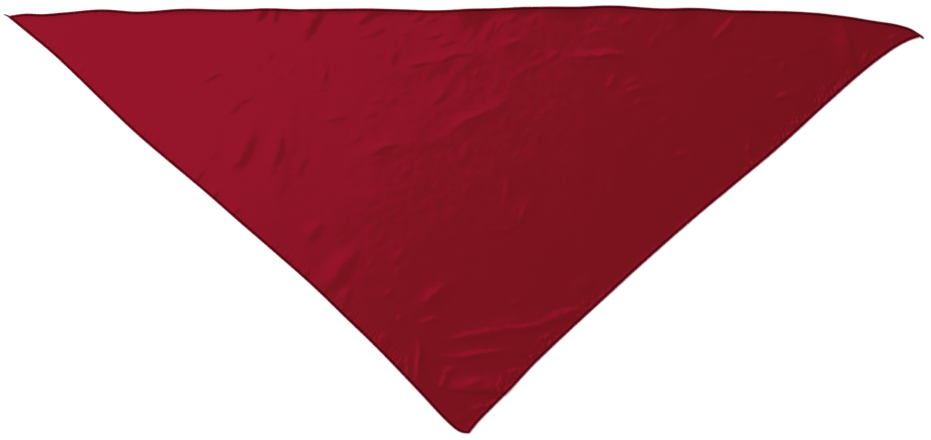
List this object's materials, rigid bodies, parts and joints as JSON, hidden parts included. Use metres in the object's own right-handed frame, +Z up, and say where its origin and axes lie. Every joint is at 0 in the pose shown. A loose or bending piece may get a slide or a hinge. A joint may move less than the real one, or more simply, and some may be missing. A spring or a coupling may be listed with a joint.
{
  "type": "neckerchief",
  "caption": "Triangular dark red satin neckerchief lying spread out flat, with a narrow overlocked hem on every edge and short thread tails at its tips.",
  "frame": {"origin": "on the surface that the cloth lies on, below the middle of its box", "axes": "+X along the long edge from the left tip to the right tip, +Y across the cloth towards the long edge, so the point lies towards -Y, +Z up out of the cloth's face"},
  "size_m": [1.0036, 0.4694, 0.0054],
  "materials": {
    "satin": "smooth polyester satin, softly shiny face with a duller underside",
    "hem_thread": "matt spun polyester overlock thread"
  },
  "bodies": {
    "root": {"cloth_panel": "satin", "long_edge_hem": "hem_thread", "left_edge_hem": "hem_thread", "right_edge_hem": "hem_thread"}
  },
  "joints": []
}
